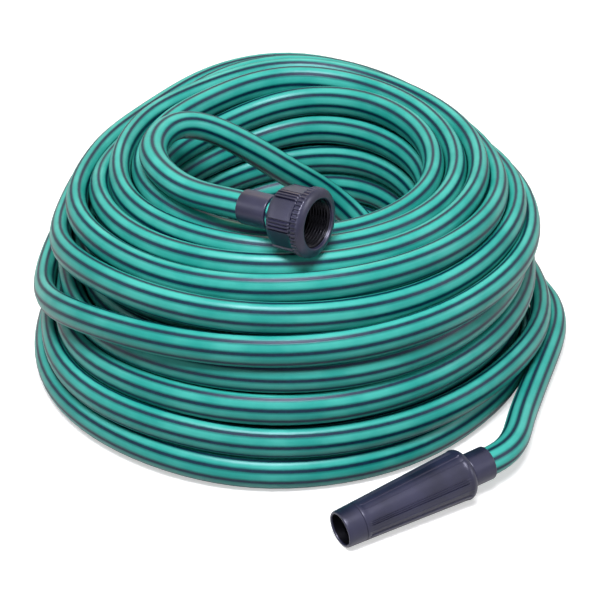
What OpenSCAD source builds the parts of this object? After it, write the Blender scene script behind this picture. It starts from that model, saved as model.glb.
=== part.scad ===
// Garden hose wound by hand into a barrel-shaped pile, with a swivelling tap connector on
// one end and a twist nozzle on the other.
// Millimetres, +Z up. The pile stands on z = 0, the origin is on the floor under the middle
// of the bounding box, and the nozzle lies along -X.

/* [Hose] */
// Outside diameter of the hose where it is round
hose_d = 16.3; // [15.5:0.1:17]
// Wall of the hose
hose_wall = 2; // [1.6:0.1:2.4]
// Width of the wound hose, which winding has made oval
oval_w = 13; // [12:0.1:14]
// Height of the wound hose
oval_h = 19.4; // [18:0.1:20]

/* [Pile] */
// Radius of the lowest outer turn, to the middle of the hose
pile_r = 153; // [145:1:160]
// Gap between neighbouring turns
turn_gap = 0.8; // [0.6:0.1:1.4]
// Rows of turns up the outer wall
wall_rows = 5; // [4:1:6]
// Step inward from one row of the outer wall to the next
row_lean = 1.7; // [0:0.1:3]
// Rows of turns down the wall of the hole
hole_rows = 5; // [3:1:5]
// Angle over which a turn steps across to its next place
step_angle = 42; // [30:1:50]
// Clearance under the lowest turn
floor_gap = 0.3; // [0.1:0.1:1]
// Clearance between the outer turns and the turns inside them
core_gap = 0.4; // [0.3:0.1:1]

/* [Crimped ends] */
// Outside diameter of both ferrules
ferrule_d = 19.3; // [18.5:0.1:21]
// Length of the tap connector's ferrule
tap_ferrule_l = 19; // [16:0.5:24]
// Length of the nozzle's ferrule
nozzle_ferrule_l = 14.5; // [13:0.5:18]
// Rounding of the ferrules' edges
ferrule_round = 0.9; // [0.3:0.1:1.2]
// Clearance where one piece is pushed onto another
push_gap = 0.05; // [0.02:0.01:0.08]
// Running clearance of threads and sliding fits, on the radius
run_gap = 0.08; // [0.04:0.01:0.1]
// Height of the barbs above their stem
barb_h = 0.3; // [0.2:0.05:0.5]
// Wall of the barbed stems at the foot of the barbs
stem_wall = 1.4; // [1.2:0.1:1.8]

/* [Tap connector] */
// Radius of the connector's thread, at the bottom of its grooves
thread_r = 13.22; // [12.5:0.01:14]
// Length of the threaded bore
thread_l = 15; // [12:0.5:18]
// Radius of the nut's plain body
nut_r = 17.4; // [16.8:0.1:18.5]
// Radius of the nut's knurled front ring
ring_r = 19.2; // [18.8:0.1:21]
// Length of the knurled front ring
ring_l = 6.5; // [5:0.5:8]
// Thickness of the nut's rear wall
nut_back = 3.5; // [2.5:0.1:4.5]
// Hose that shows between the ferrule and the nut
hose_show = 3; // [2:0.5:5]
// Clearance between the hose's cut end and the nut
nut_gap = 0.6; // [0.3:0.1:1.5]
// Radius of the neck that the nut turns on
neck_r = 8; // [7.5:0.1:9]
// Thickness of the tail's flange inside the nut
flange_t = 2.8; // [2:0.1:4]
// Thickness of the sealing washer
washer_t = 3; // [2:0.1:3.5]
// Radius of the washer's hole
washer_hole_r = 7.5; // [6:0.1:9]
// Groups of grip ribs around the nut
grip_groups = 6; // [4:1:8]
// Slots of the knurled ring
knurl_count = 36; // [24:1:44]
// Depth of the knurl's slots and height of the grip ribs
grip_h = 0.6; // [0.3:0.1:0.9]

/* [Nozzle] */
// Length of the barrel with its nose
barrel_l = 82; // [78:1:90]
// Radius of the barrel's wide end
barrel_back_r = 14.8; // [14.2:0.1:16]
// Radius of the barrel's mouth
barrel_mouth_r = 10.4; // [10.2:0.1:11.5]
// Rounding of the barrel's wide end
barrel_round = 4; // [1:0.5:5]
// Length of the smooth nose in front of the seam
nose_l = 11; // [10:0.5:13]
// Wall of the nose's cup
nose_wall = 1.6; // [1.2:0.1:2]
// Depth of the cup in the mouth
cup_depth = 7.3; // [5:0.1:8]
// Travel of the barrel from closed to fully open
travel = 6; // [4:0.5:6]
// Radius of the stem's threaded part
stem_thread_r = 9; // [8.8:0.1:9.6]
// Radius of the stem's sealing part
stem_seal_r = 7.7; // [7.4:0.1:8]
// Radius of the stem's long tube
stem_tube_r = 4; // [3.6:0.1:4.2]
// Radius of the water passage in the stem
water_r = 2.4; // [2:0.1:2.6]
// Thickness of the O-rings
seal_t = 1.7; // [1.4:0.1:2]
// Wiper ring's thickness along the stem
wiper_t = 3; // [2:0.1:4]
// Depth of the panel channels along the barrel
channel_depth = 0.6; // [0.3:0.1:0.8]

/* [Where the ends lie] */
// Clearance between the nozzle and the lowest outer turn
nozzle_out = 12.2; // [8:0.1:20]
// Turn of the nozzle's barrel about its axis
barrel_turn = 27; // [0:1:89]
// Turn of the tap connector's nut about its axis
nut_turn = -9; // [-30:1:30]
// Direction of the tap connector, seen from above
tap_turn = -65; // [-75:1:-55]
// Upward tilt of the tap connector
tap_tilt = 6; // [4:1:12]

/* [Hidden] */

hose_green = [0.25, 0.72, 0.65];
fitting_black = [0.16, 0.15, 0.2];
rubber_black = [0.08, 0.08, 0.09];
round_fn = 96;
small_fn = 48;

// --- the pile's winding -------------------------------------------------------------
// A station is the [radius, height] that one turn keeps before it steps to the next one.
pitch_r = oval_w + turn_gap;
pitch_z = oval_h + turn_gap;
first_z = floor_gap + oval_h / 2;
function wall_station(row) = [pile_r - row_lean * row, first_z + pitch_z * row];
up_wall = [for (row = [0:wall_rows - 1]) wall_station(row)];
// Direction of each step over the crown of the pile, in degrees above the inward way.
crown_rise = [70, 24, 12, 4, 0, -75];
function stepped(start, rise, i) =
    i < 0 ? start : stepped(start, rise, i - 1) + [-pitch_r * cos(rise[i]), pitch_z * sin(rise[i])];
crown = [for (i = [0:len(crown_rise) - 1]) stepped(wall_station(wall_rows - 1), crown_rise, i)];
hole_r = crown[len(crown) - 1][0];
hole_top = crown[len(crown) - 1][1];
down_hole = [for (row = [1:hole_rows - 1]) [hole_r, hole_top - pitch_z * row]];
// Way inward from the hole's lowest turn to the last one, which leads up to the tap connector.
way_in = 16;
last_station = [hole_r - way_in, hole_top - pitch_z * (hole_rows - 1) + floor_gap];
stations = concat(up_wall, crown, down_hole, [last_station]);

// Where round the pile the nozzle's end of the hose joins it.
start_angle = 14;
loop_rings = 24;
steps = len(stations) - 1;
// Turn in the winding's outline at a station, in units of the pitch, where the next step
// has to come that much sooner so that neighbouring turns keep apart.
function outline_way(i) =
    let (d = stations[i + 1] - stations[i]) atan2(d[1] / pitch_z, d[0] / pitch_r);
function bend_at(i) = let (d = abs(outline_way(i) - outline_way(i - 1))) min(d, 360 - d);
bend_lead = 0.34;
function sooner(i) = bend_lead * step_angle * pow(bend_at(i) / 90, 2);
// The first turn stops just short of closing on itself, and then steps.
first_turn_end = 351;
first_step = first_turn_end - step_angle / 2;
function step_middle(i) = i == 0 ? first_step : step_middle(i - 1) + 360 - sooner(i);
step_middles = [for (i = [0:steps - 1]) step_middle(i)];
// Angle past the last whole turn at which the winding ends.
end_angle = -36;
coil_turn = 360 * ceil((step_middles[steps - 1] + step_angle / 2 - end_angle) / 360) + end_angle;
coil_rings = round(coil_turn / 360 * loop_rings);

function smooth(x) = x <= 0 ? 0 : x >= 1 ? 1 : x * x * (3 - 2 * x);
function steps_done(turned) = len([for (m = step_middles) if (turned > m + step_angle / 2) 1]);
function station_at(turned) =
    let (i = min(steps - 1, steps_done(turned)),
        share = smooth((turned - step_middles[i]) / step_angle + 0.5))
    stations[i] + (stations[i + 1] - stations[i]) * share;
function coil_point(turned) =
    let (at = station_at(turned), a = start_angle + turned)
    [at[0] * cos(a), at[0] * sin(a), at[1]];
function level_way(turned) = [-sin(start_angle + turned), cos(start_angle + turned), 0];

coil_start = coil_point(0) - level_way(0) * hose_d;
coil_end = coil_point(coil_turn) + level_way(coil_turn) * hose_d;
coil_path = concat([coil_start],
    [for (i = [0:coil_rings]) coil_point(coil_turn * i / coil_rings)], [coil_end]);

// Half size of the hose's oval in a direction, and the gap left between two ovals, which is
// the widest gap between parallel lines that part them.
function oval_reach(side, up) = norm([oval_w / 2 * side, oval_h / 2 * up]);
function turn_clearance(p, q) =
    let (d = q - p, side = norm([d[0], d[1]]), rise = abs(d[2]), way = atan2(rise, side))
    max([for (a = [way - 30:10:way + 30])
        side * cos(a) + rise * sin(a) - 2 * oval_reach(cos(a), sin(a))]);
function least_gap() = let (last = len(coil_path) - 1)
    min([for (i = [0:last], j = [i + loop_rings / 2:last])
        if (norm(coil_path[i] - coil_path[j]) < 2 * oval_h)
            turn_clearance(coil_path[i], coil_path[j])]);

// --- the tap connector, along its own axis from the ferrule's hose side ---------------
hose_r = hose_d / 2;
bore_r = hose_r - hose_wall;
barb_r = bore_r - push_gap;
barb_foot_r = barb_r - barb_h;
tail_bore_r = barb_foot_r - stem_wall;
tap_hose_end = tap_ferrule_l + hose_show;
nut_start = tap_hose_end + nut_gap;
flange_gap = 0.15;
seat_gap = 0.3;
thread_runout = 0.9;
cavity_step = 0.6;
flange_start = nut_start + nut_back + flange_gap;
flange_end = flange_start + flange_t;
washer_start = flange_end + seat_gap;
thread_start = washer_start + washer_t + thread_runout;
tap_end = thread_start + thread_l;
nut_cavity_r = thread_r - cavity_step;
flange_r = nut_cavity_r - seat_gap;
ring_start = tap_end - ring_l;
tap_place = [-69.8, -69.6, 148.9];

// --- the nozzle, along its own axis from the ferrule's hose side ----------------------
ferrule_to_barrel = 0.8;
barrel_start = nozzle_ferrule_l + ferrule_to_barrel;
barrel_end = barrel_start + barrel_l;
taper = atan((barrel_back_r - barrel_mouth_r) / barrel_l);
function barrel_r(t) = barrel_back_r - (t - barrel_start) * tan(taper);
nose_start = barrel_end - nose_l;
cup_start = barrel_end - cup_depth;
cup_r = barrel_mouth_r - nose_wall;
wiper_in = 1;
wiper_start = barrel_start + wiper_in;
wiper_end = wiper_start + wiper_t;
wiper_seat_end = wiper_end + seat_gap;
// Length of thread that still holds when the barrel is fully open, and the room past a seal.
held_thread_l = 4;
seal_room = 4;
thread_bore_end = wiper_seat_end + travel + held_thread_l;
stem_thread_end = thread_bore_end - 0.5;
stem_seal_at = thread_bore_end + travel + seal_room;
stem_seal_end = stem_seal_at + seal_room;
seal_bore_r = stem_seal_r + 0.25;
// Bore that the stem's tip closes, which runs through the barrel's front and the nose.
seat_l = 6.8;
seat_start = nose_start - seat_l;
seat_r = stem_tube_r + 0.8;
tip_seal_at = seat_start + 1.5;
chamber_taper_l = 9;
chamber_end = seat_start - chamber_taper_l;
spigot_r = stem_seal_r - 0.7;
spigot_l = 4;
stem_tip = cup_start;
nozzle_collar = nozzle_ferrule_l - 1.4;
collar_gap = 0.1;
port_at = stem_seal_end + 8;
passage_end = stem_seal_end + 12;
nozzle_floor_gap = 0.2;
nozzle_y = pile_r + oval_w / 2 + nozzle_out + barrel_back_r;
nozzle_place = [16.8, -nozzle_y, barrel_r(0) * cos(taper) + nozzle_floor_gap];

// The pile stands behind the origin by half of what the nozzle sticks out in front.
pile_y = (nozzle_y + barrel_back_r - pile_r - oval_w / 2) / 2;

// --- the free stretches ---------------------------------------------------------------
// Points from the pile's axis.
tap_route = [[70, 3, 33], [62, 10, 47], [50, 15, 61], [37, 19, 76], [22, 24, 92],
    [6, 29, 107], [-11, 33, 120], [-27, 39, 131], [-44, 44, 139], [-61, 45, 143],
    [-75, 37, 143.6], [-83, 24, 143.6], [-87, 8, 143.6], [-87, -10, 143.6],
    [-85, -27, 143.8], [-80, -42, 145], [-75, -55, 147]];
// Angle round the pile, distance outside the lowest outer turn, and height.
nozzle_stops = [[-79.6, 27.8, 14.6], [-72.5, 20.6, 12.0], [-63.3, 15.6, 10.6], [-54.0, 14.6, 10.0],
    [-45.0, 15.2, 10], [-35.0, 16.2, 10], [-25.0, 16.4, 10], [-15.0, 14.4, 10],
    [-8, 11, 10], [-1, 6.2, 10]];
nozzle_route = [for (p = nozzle_stops)
    [(pile_r + p[1]) * cos(p[0]), (pile_r + p[1]) * sin(p[0]), p[2]]];
run_sides = 10;
coil_sides = 6;

// The pile also stands left of the origin by half of what that stretch of hose sticks out.
pile_x = (pile_r - max([for (p = nozzle_route) p[0]])) / 2;

module at_pile() { translate([pile_x, pile_y, 0]) children(); }
module at_tap() { at_pile() translate(tap_place) rotate([0, 90 - tap_tilt, tap_turn]) children(); }
module at_nozzle() { at_pile() translate(nozzle_place) rotate([0, -90 - taper, 0]) children(); }

// --- swept hose ----------------------------------------------------------------------
function unit(v) = v / norm(v);
// Corners of the hose's oval round one point of a path, long side up.
function oval_ring(at, way, sides, first) =
    let (side = unit(cross(way, [0, 0, 1])), up = cross(side, way))
    [for (k = [0:sides - 1]) let (a = first + 360 * k / sides)
        at + side * oval_w / 2 * cos(a) + up * oval_h / 2 * sin(a)];
function path_way(path, i) = unit(path[min(i + 1, len(path) - 1)] - path[max(i - 1, 0)]);
module swept_hose(path, sides, first, way_a, way_b) {
    last = len(path) - 1;
    rings = [for (i = [0:last])
        oval_ring(path[i], i == 0 ? way_a : i == last ? way_b : path_way(path, i), sides, first)];
    corners = [for (ring = rings) each ring];
    walls = [for (i = [0:last - 1], k = [0:sides - 1])
        let (a = i * sides + k, b = i * sides + (k + 1) % sides)
        each [[a, b, a + sides], [b, b + sides, a + sides]]];
    first_cap = [for (k = [1:sides - 2]) [0, k + 1, k]];
    end = last * sides;
    last_cap = [for (k = [1:sides - 2]) [end, end + k, end + k + 1]];
    polyhedron(corners, concat(walls, first_cap, last_cap));
}

// --- the hose ------------------------------------------------------------------------
// The turns under the outer layer, as one plain ring that the winding clears by core_gap.
core_stations = [for (i = [0:steps - 1]) stations[i]];
// The sides of a turn lie this much nearer to the pile's axis at their middles.
chord_sag = pile_r * (1 - cos(180 / loop_rings));
// A line that lies core_gap inside two neighbouring turns, as its normal and its distance.
function core_line(a, b) =
    let (d = unit(b - a), n = [-d[1], d[0]])
    [n, n * a + oval_reach(n[0], n[1]) + core_gap + max(0, -n[0]) * chord_sag];
function crossing(m, n) =
    let (det = m[0][0] * n[0][1] - m[0][1] * n[0][0])
    [(m[1] * n[0][1] - n[1] * m[0][1]) / det, (m[0][0] * n[1] - n[0][0] * m[1]) / det];
core_lines = [for (i = [0:len(core_stations) - 2])
    core_line(core_stations[i], core_stations[i + 1])];
floor_line = [[0, 1], 0];
module hose_inner_turns() {
    turning = [for (i = [0:len(core_lines) - 2])
        if (norm(core_lines[i][0] - core_lines[i + 1][0]) > 0.01)
            crossing(core_lines[i], core_lines[i + 1])];
    profile = concat([crossing(floor_line, core_lines[0])], turning,
        [crossing(floor_line, core_lines[len(core_lines) - 1])]);
    color(hose_green) at_pile() rotate_extrude($fn = round_fn) polygon(profile);
}

module hose_coil() {
    echo(least_gap_between_turns = least_gap(), turns = coil_turn / 360);
    color(hose_green) at_pile()
        swept_hose(coil_path, coil_sides, 30, level_way(0), level_way(coil_turn));
}

tap_way = [cos(tap_turn) * cos(tap_tilt), sin(tap_turn) * cos(tap_tilt), sin(tap_tilt)];
nozzle_way = [-cos(taper), 0, -sin(taper)];
module hose_tap_run() {
    color(hose_green) at_pile() swept_hose(concat([coil_end], tap_route, [tap_place]),
        run_sides, 0, level_way(coil_turn), tap_way);
}
module hose_nozzle_run() {
    color(hose_green) at_pile() swept_hose(concat([nozzle_place], nozzle_route, [coil_start]),
        run_sides, 0, -nozzle_way, level_way(0));
}

// Round end of the hose that a ferrule grips.
module clamped_hose(length) {
    difference() {
        cylinder(h = length, r = hose_r, $fn = round_fn);
        translate([0, 0, -1]) cylinder(h = length + 2, r = bore_r, $fn = round_fn);
    }
}
module hose_tap_end() { color(hose_green) at_tap() clamped_hose(tap_hose_end); }
module hose_nozzle_end() {
    color(hose_green) at_nozzle() clamped_hose(nozzle_collar - collar_gap);
}

// How far inside the ferrule's hose side a barbed stem begins.
stem_in = 1;

// --- shared parts of both fittings -----------------------------------------------------
module ferrule(length) {
    inside = hose_r + push_gap;
    outside = ferrule_d / 2;
    c = ferrule_round;
    profile = concat([[inside, 0], [outside - c, 0]],
        [for (a = [-75:15:0]) [outside - c + c * cos(a), c + c * sin(a)]],
        [for (a = [0:15:75]) [outside - c + c * cos(a), length - c + c * sin(a)]],
        [[outside - c, length], [inside, length]]);
    color(fitting_black) rotate_extrude($fn = round_fn) polygon(profile);
}
// Outline of a barbed stem as far as the end of its barbs, without its bore.
function barbs(from, to, count) = let (l = (to - from) / count)
    [for (i = [0:count - 1]) each [[barb_foot_r, from + l * i], [barb_r, from + l * (i + 0.7)],
        [barb_foot_r, from + l * (i + 0.75)]]];
module seal_ring(middle_r, at) {
    color(rubber_black) translate([0, 0, at]) rotate_extrude($fn = round_fn)
        translate([middle_r, 0]) circle(r = seal_t / 2, $fn = small_fn);
}

// --- tap connector ---------------------------------------------------------------------
module tap_ferrule() { at_tap() ferrule(tap_ferrule_l); }

module tap_tail() {
    neck_start = tap_hose_end + collar_gap;
    mouth = 1.5;
    profile = concat([[tail_bore_r, stem_in]], barbs(stem_in, tap_ferrule_l, 4),
        [[barb_foot_r, neck_start], [neck_r, neck_start], [neck_r, flange_start],
        [flange_r, flange_start], [flange_r, flange_end], [tail_bore_r + mouth, flange_end],
        [tail_bore_r, flange_end - mouth]]);
    color(fitting_black) at_tap() rotate_extrude($fn = round_fn) polygon(profile);
}

// Seam between the nut's ribs and its front ring.
seam_w = 0.8;
ribs_end = ring_start - seam_w;
module nut_body() {
    shoulder = 2.6;
    c = 1;
    profile = [[neck_r + run_gap, nut_start], [nut_r - shoulder, nut_start],
        [nut_r - shoulder * 0.3, nut_start + shoulder * 0.7], [nut_r, nut_start + shoulder * 1.6],
        [nut_r, ribs_end], [nut_r - seam_w, ribs_end], [nut_r - seam_w, ring_start],
        [ring_r - c / 2, ring_start], [ring_r, ring_start + c / 2], [ring_r, tap_end - c],
        [ring_r - c, tap_end], [thread_r + c, tap_end], [thread_r, tap_end - c],
        [thread_r, thread_start], [nut_cavity_r, thread_start],
        [nut_cavity_r, nut_start + nut_back], [neck_r + run_gap, nut_start + nut_back]];
    rotate_extrude($fn = round_fn) polygon(profile);
}
// Three ribs side by side, standing out of the nut's body.
module grip_ribs() {
    rib_w = 1.1;
    rib_angle = 6.5;
    rib_start = nut_start + 3.2;
    for (k = [-1:1])
        rotate(k * rib_angle) translate([nut_r - 1, -rib_w / 2, rib_start])
            cube([1 + grip_h, rib_w, ribs_end - rib_start]);
}
module knurl_slot() {
    slot_w = 1.2;
    front_rim = 2;
    translate([ring_r - grip_h, -slot_w / 2, ring_start - 1])
        cube([2, slot_w, ring_l + 1 - front_rim]);
}
module tap_nut() {
    color(fitting_black) at_tap() difference() {
        union() {
            nut_body();
            for (k = [0:grip_groups - 1])
                rotate(nut_turn + 360 / grip_groups * (k + 0.5)) grip_ribs();
        }
        for (k = [0:knurl_count - 1]) rotate(nut_turn + 360 / knurl_count * k) knurl_slot();
    }
}

module tap_washer() {
    color(rubber_black) at_tap() translate([0, 0, washer_start]) difference() {
        cylinder(h = washer_t, r = nut_cavity_r - seat_gap / 2, $fn = round_fn);
        translate([0, 0, -1]) cylinder(h = washer_t + 2, r = washer_hole_r, $fn = round_fn);
    }
}

// --- nozzle ------------------------------------------------------------------------------
module nozzle_ferrule() { at_nozzle() ferrule(nozzle_ferrule_l); }

// Groove for an O-ring whose outside stands proud of the stem by its working squeeze.
function seal_groove(outer_r, at) =
    let (w = seal_t * 0.65, floor_r = outer_r - seal_t + 0.2)
    [[outer_r, at - w], [floor_r, at - w], [floor_r, at + w], [outer_r, at + w]];
module nozzle_stem() {
    collar_r = hose_r - collar_gap;
    thread_foot = nozzle_ferrule_l + collar_gap;
    tip_cone_at = tip_seal_at + 2.5;
    tip_r = stem_tube_r - 1.4;
    port_r = water_r * 0.7;
    profile = concat([[water_r, stem_in]], barbs(stem_in, nozzle_collar - 1, 3),
        [[barb_foot_r, nozzle_collar], [collar_r, nozzle_collar], [collar_r, thread_foot],
        [stem_thread_r, thread_foot], [stem_thread_r, stem_thread_end - 1],
        [stem_seal_r, stem_thread_end]],
        seal_groove(stem_seal_r, stem_seal_at),
        [[stem_seal_r, stem_seal_end - 1], [stem_tube_r, stem_seal_end + 2]],
        seal_groove(stem_tube_r, tip_seal_at),
        [[stem_tube_r, tip_cone_at], [tip_r, stem_tip], [0, stem_tip],
        [0, passage_end], [water_r, passage_end]]);
    color(fitting_black) at_nozzle() difference() {
        rotate_extrude($fn = round_fn) polygon(profile);
        for (a = [0, 90]) translate([0, 0, port_at]) rotate([90, 0, a])
            cylinder(h = 3 * stem_tube_r, r = port_r, center = true, $fn = small_fn);
    }
}
module nozzle_stem_seal() {
    at_nozzle() seal_ring(seal_bore_r - push_gap - seal_t / 2, stem_seal_at);
}
module nozzle_tip_seal() {
    at_nozzle() seal_ring(seat_r - push_gap - seal_t / 2, tip_seal_at);
}
wiper_w = 2.4;
wiper_r = stem_thread_r + wiper_w;
module nozzle_wiper_ring() {
    color(rubber_black) at_nozzle() translate([0, 0, wiper_start]) difference() {
        cylinder(h = wiper_t, r = wiper_r, $fn = round_fn);
        translate([0, 0, -1]) cylinder(h = wiper_t + 2, r = stem_thread_r + run_gap, $fn = round_fn);
    }
}

// Gap between the barrel and the shoulder of its nose.
joint_gap = 0.2;
// One long cut that follows the barrel's taper, at an angle round it.
module taper_cut(angle, width, depth, from, to) {
    rotate(angle) translate([barrel_r(from) - depth, 0, from]) rotate([0, -taper, 0])
        translate([0, -width / 2, 0]) cube([depth + 2, width, to - from]);
}
module nozzle_barrel() {
    c = barrel_round;
    turn_r = barrel_back_r - c;
    profile = concat([[wiper_r + run_gap, barrel_start]],
        [for (a = [-90:15:0]) [turn_r + c * cos(a), barrel_start + c + c * sin(a)]],
        [[barrel_r(nose_start), nose_start - joint_gap], [spigot_r + push_gap, nose_start - joint_gap],
        [spigot_r + push_gap, nose_start - spigot_l], [seat_r, nose_start - spigot_l],
        [seat_r, seat_start], [seal_bore_r, chamber_end], [seal_bore_r, thread_bore_end],
        [stem_thread_r + run_gap, thread_bore_end], [stem_thread_r + run_gap, wiper_seat_end],
        [wiper_r + run_gap, wiper_seat_end]]);
    cut_from = barrel_start + barrel_round + 1;
    plain_end = 1.5;
    edge_w = 1.5;
    groove_w = 0.6;
    groove_angle = 7;
    color(fitting_black) at_nozzle() difference() {
        rotate_extrude($fn = round_fn) polygon(profile);
        for (k = [0:3])
            taper_cut(barrel_turn + 45 + 90 * k, edge_w, channel_depth, cut_from, nose_start + 1);
        for (k = [0:3], j = [-1:1])
            taper_cut(barrel_turn + 90 * k + groove_angle * j, groove_w, channel_depth / 2,
                cut_from, nose_start - plain_end);
    }
}
module nozzle_nose() {
    c = 0.6;
    spigot_end = nose_start - spigot_l + joint_gap;
    profile = [[spigot_r, spigot_end], [spigot_r, nose_start],
        [barrel_r(nose_start), nose_start], [barrel_r(barrel_end - c), barrel_end - c],
        [barrel_r(barrel_end) - c, barrel_end], [cup_r, barrel_end], [cup_r, cup_start],
        [seat_r, cup_start], [seat_r, spigot_end]];
    color(fitting_black) at_nozzle() rotate_extrude($fn = round_fn) polygon(profile);
}

hose_inner_turns();
hose_coil();
hose_tap_run();
hose_nozzle_run();
hose_tap_end();
hose_nozzle_end();
tap_ferrule();
tap_tail();
tap_nut();
tap_washer();
nozzle_ferrule();
nozzle_stem();
nozzle_stem_seal();
nozzle_tip_seal();
nozzle_wiper_ring();
nozzle_barrel();
nozzle_nose();
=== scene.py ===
"""A garden hose wound into a pile, with its tap connector and twist nozzle, in metres."""

import math

import bpy
import numpy as np
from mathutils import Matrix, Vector


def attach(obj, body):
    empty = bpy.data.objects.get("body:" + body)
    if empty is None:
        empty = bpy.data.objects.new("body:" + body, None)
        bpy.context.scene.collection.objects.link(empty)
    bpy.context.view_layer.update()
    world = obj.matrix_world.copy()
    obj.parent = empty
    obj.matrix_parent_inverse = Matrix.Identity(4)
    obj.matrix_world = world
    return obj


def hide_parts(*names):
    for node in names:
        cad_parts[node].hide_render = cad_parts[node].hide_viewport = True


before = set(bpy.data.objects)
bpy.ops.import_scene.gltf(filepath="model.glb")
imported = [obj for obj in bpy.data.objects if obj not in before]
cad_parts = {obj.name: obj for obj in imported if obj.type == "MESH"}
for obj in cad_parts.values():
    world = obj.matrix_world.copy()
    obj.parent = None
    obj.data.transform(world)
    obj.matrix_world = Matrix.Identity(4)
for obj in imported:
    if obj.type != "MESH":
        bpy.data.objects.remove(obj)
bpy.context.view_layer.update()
MM = 0.001

# ---------------------------------------------------------------- camera
VIEW_TURN = math.radians(-31)    # the side that the camera sees, round Z
PILE = Vector((-0.004702, 0.0209, 0))   # the pile's axis
CAM_AIM = PILE + Vector((0, 0, 0.070))
CAM_FAR = 1.060
CAM_UP = math.radians(32)
CAM_SENSOR = 36                  # mm
PICTURE = 600                    # pixels each way
PIXELS_PER_MM = 1.626            # of a size at CAM_AIM
SHIFT_PIXELS = (11, -64)         # of the picture's middle


def add_camera():
    """A long lens that looks down at the pile."""
    way = Vector((math.sin(VIEW_TURN) * math.cos(CAM_UP),
                  -math.cos(VIEW_TURN) * math.cos(CAM_UP), math.sin(CAM_UP)))
    data = bpy.data.cameras.new("camera")
    data.sensor_width = CAM_SENSOR
    data.lens = PIXELS_PER_MM * CAM_FAR / MM / PICTURE * CAM_SENSOR
    data.shift_x = SHIFT_PIXELS[0] / PICTURE
    data.shift_y = SHIFT_PIXELS[1] / PICTURE
    data.clip_start = 0.05
    cam = bpy.data.objects.new("camera", data)
    cam.location = CAM_AIM + way * CAM_FAR
    cam.rotation_euler = (-way).to_track_quat("-Z", "Y").to_euler()
    bpy.context.scene.collection.objects.link(cam)
    bpy.context.scene.camera = cam


add_camera()

# ---------------------------------------------------------------- the hose's route
# Everything here is in millimetres from the pile's axis, with angles in the camera's frame:
# 0 to the right, 90 at the back, 180 to the left, 270 in front. The part's frame is turned
# from it by VIEW_TURN.
W, H = 13.0, 19.4                # the wound hose's oval section
ROUND = 16.3                     # the hose's diameter where it isn't pressed
GAP = 0.8                        # between turns, as they are first laid
PW, PH = W + GAP, H + GAP        # from a turn to the next, across and up
Z0 = 0.3 + H / 2                 # height of a turn that lies on the floor
RINGS = 96                       # rings in a full turn
BACK = 90.0                      # the angle at which every turn starts
POINT_STEP = 4.0                 # between points where the hose isn't wound
WALL_R, WALL_LEAN = 153, 1.7     # the outer wall's lowest row, and how far each row comes in
WALL_TOP = 4                     # the wall's highest row
CROWN_RISE = (70, 24, 12, 4, 0, -75)    # degrees upward, from a turn of the crown to the next


def wall(row):
    """Radius and height of a row of the outer wall, 0 on the floor."""
    return (WALL_R - WALL_LEAN * row, Z0 + PH * row)


def crown():
    """Radius and height of the turns that go inward over the top, and of the hole's first."""
    at, out = np.array(wall(WALL_TOP)), []
    for rise in CROWN_RISE:
        a = math.radians(rise)
        at = at + np.array([-PW * math.cos(a), PH * math.sin(a)])
        out.append(tuple(at))
    return out


CROWN = crown()
HOLE_R, HOLE_TOP = CROWN[-1]
# name, radius, height of every turn from the nozzle's end of the hose to the tap's end
TURNS = [("I",) + wall(0), ("J", 138.2, 10.0), ("x0", 124.2, 10.5), ("x0", 110.4, 10.5),
         ("x0", 97.2, 12.5), ("x1", 97.6, 33), ("x1", 109.6, 31), ("x1", 122.6, 31),
         ("x", 121.5, 51.5), ("x", 101, 53), ("x", 101, 73.5), ("x", 119, 73),
         ("x", 99, 93.5), ("x", 113, 92.5), ("L", 131, 91), ("c2", 134.1, 70.6),
         ("c1", 134.9, 50.4), ("c0", 135.9, 30.2),
         ("H",) + wall(1), ("G",) + wall(2), ("F",) + wall(3), ("E",) + wall(4),
         ("D",) + CROWN[0], ("C",) + CROWN[1], ("B",) + CROWN[2], ("A2",) + CROWN[3],
         ("A1",) + CROWN[4], ("J1",) + CROWN[5]]
TURNS += [("J%d" % (k + 1), HOLE_R, HOLE_TOP - PH * k) for k in (1, 2, 3, 4)]
TURNS += [("last", 68.2, 10.0)]
# Where a turn goes over to the next turn's place: degrees past the back, and how wide.
STEP = (0.0, 95.0)
STEPS = {"I": (-125.0, 80.0), "J": (-125.0, 80.0), "x0": (-122.0, 80.0), "x1": (-90.0, 80.0)}
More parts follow.
